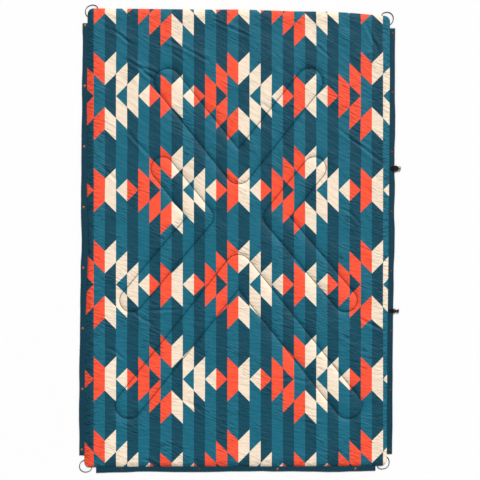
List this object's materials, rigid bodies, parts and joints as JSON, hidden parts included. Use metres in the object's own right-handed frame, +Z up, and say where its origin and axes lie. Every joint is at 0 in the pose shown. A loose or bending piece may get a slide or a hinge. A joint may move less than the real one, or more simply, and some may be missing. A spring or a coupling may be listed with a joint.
{
  "type": "camp blanket",
  "caption": "Quilted camp blanket with a printed shell, side and bottom snap plackets, a hook-and-window clip on one edge and cord loops at its corners.",
  "frame": {"origin": "under the middle of the blanket's box, on the surface that it lies on", "axes": "+X across its width to the side with the clip, +Y along its length to the edge with no placket, +Z up out of the printed side"},
  "size_m": [1.4071, 2.048, 0.0144],
  "materials": {
    "printed_shell": "woven polyester with a striped and stepped-diamond print",
    "insulation": "white synthetic fill",
    "lining": "plain teal woven polyester",
    "thread": "dark teal stitching",
    "bartack_thread": "dense black stitching",
    "tape": "flat woven tape",
    "placket": "plain teal woven polyester, folded",
    "spring_wire": "bright wire",
    "snap_metal": "antique copper",
    "webbing": "black webbing",
    "clip_plastic": "moulded, satin black",
    "cord": "braided black cord"
  },
  "bodies": {
    "left_half": {"shell_left": "printed_shell", "insulation_left": "insulation", "lining_left": "lining", "quilting_thread_left": "thread", "placket_bottom_left": "placket", "placket_tape_bottom_left": "tape", "placket_thread_bottom_left": "thread", "snap_studs_bottom": "snap_metal", "snap_posts_bottom": "snap_metal", "loop_bartacks_left": "bartack_thread"},
    "right_half": {"shell_right": "printed_shell", "insulation_right": "insulation", "lining_right": "lining", "quilting_thread_right": "thread", "placket_bottom_right": "placket", "placket_tape_bottom_right": "tape", "placket_thread_bottom_right": "thread", "snap_caps_bottom": "snap_metal", "snap_sockets_bottom": "snap_metal", "snap_springs_bottom": "spring_wire", "loop_bartacks_right": "bartack_thread"},
    "left_flap": {"placket_left": "placket", "placket_tape_left": "tape", "placket_thread_left": "thread", "snap_caps_left": "snap_metal", "snap_sockets_left": "snap_metal", "snap_springs_left": "spring_wire"},
    "right_flap": {"placket_right": "placket", "placket_tape_right": "tape", "placket_thread_right": "thread", "snap_studs_right": "snap_metal", "snap_posts_right": "snap_metal", "clip_webbing_receiver": "webbing", "clip_webbing_hook": "webbing", "clip_bartacks": "bartack_thread"},
    "receiver": {"clip_receiver": "clip_plastic"},
    "hook": {"clip_hook": "clip_plastic"},
    "loop_top_left": {"corner_loop_top_left": "cord"},
    "loop_top_right": {"corner_loop_top_right": "cord"},
    "loop_bottom_left": {"corner_loop_bottom_left": "cord"},
    "loop_bottom_right": {"corner_loop_bottom_right": "cord"}
  },
  "joints": [
    {"name": "centre_fold", "type": "hinge", "parent": "left_half", "child": "right_half", "pos_m": [-0.00668, 0.0013, 0.0152], "axis": [0, -1, 0], "range_deg": [0, 174]},
    {"name": "left_placket_fold", "type": "hinge", "parent": "left_half", "child": "left_flap", "pos_m": [-0.67483, 0.00484, 0.0032], "axis": [0.0075, 1, 0], "range_deg": [0, 150]},
    {"name": "right_placket_fold", "type": "hinge", "parent": "right_half", "child": "right_flap", "pos_m": [0.65142, -0.00324, 0.0032], "axis": [-0.0076, -1, 0], "range_deg": [0, 110]},
    {"name": "receiver_swing", "type": "hinge", "parent": "right_flap", "child": "receiver", "pos_m": [0.66824, 0.31414, 0.00495], "axis": [-0.0076, -1, 0], "range_deg": [0, 60]},
    {"name": "hook_swing", "type": "hinge", "parent": "right_flap", "child": "hook", "pos_m": [0.67249, -0.30891, 0.00495], "axis": [-0.0076, -1, 0], "range_deg": [0, 60]},
    {"name": "top_left_loop_flip", "type": "hinge", "parent": "left_half", "child": "loop_top_left", "pos_m": [-0.64538, 0.9995, 0.0034], "axis": [0.7802, 0.6255, 0], "range_deg": [0, 150]},
    {"name": "top_right_loop_flip", "type": "hinge", "parent": "right_half", "child": "loop_top_right", "pos_m": [0.64052, 0.9654, 0.0034], "axis": [0.6907, -0.7231, 0], "range_deg": [0, 150]},
    {"name": "bottom_left_loop_flip", "type": "hinge", "parent": "left_half", "child": "loop_bottom_left", "pos_m": [-0.66558, -0.9789, 0.0034], "axis": [-0.7414, 0.671, 0], "range_deg": [0, 150]},
    {"name": "bottom_right_loop_flip", "type": "hinge", "parent": "right_half", "child": "loop_bottom_right", "pos_m": [0.62372, -0.9689, 0.0034], "axis": [-0.7272, -0.6864, 0], "range_deg": [0, 150]}
  ]
}
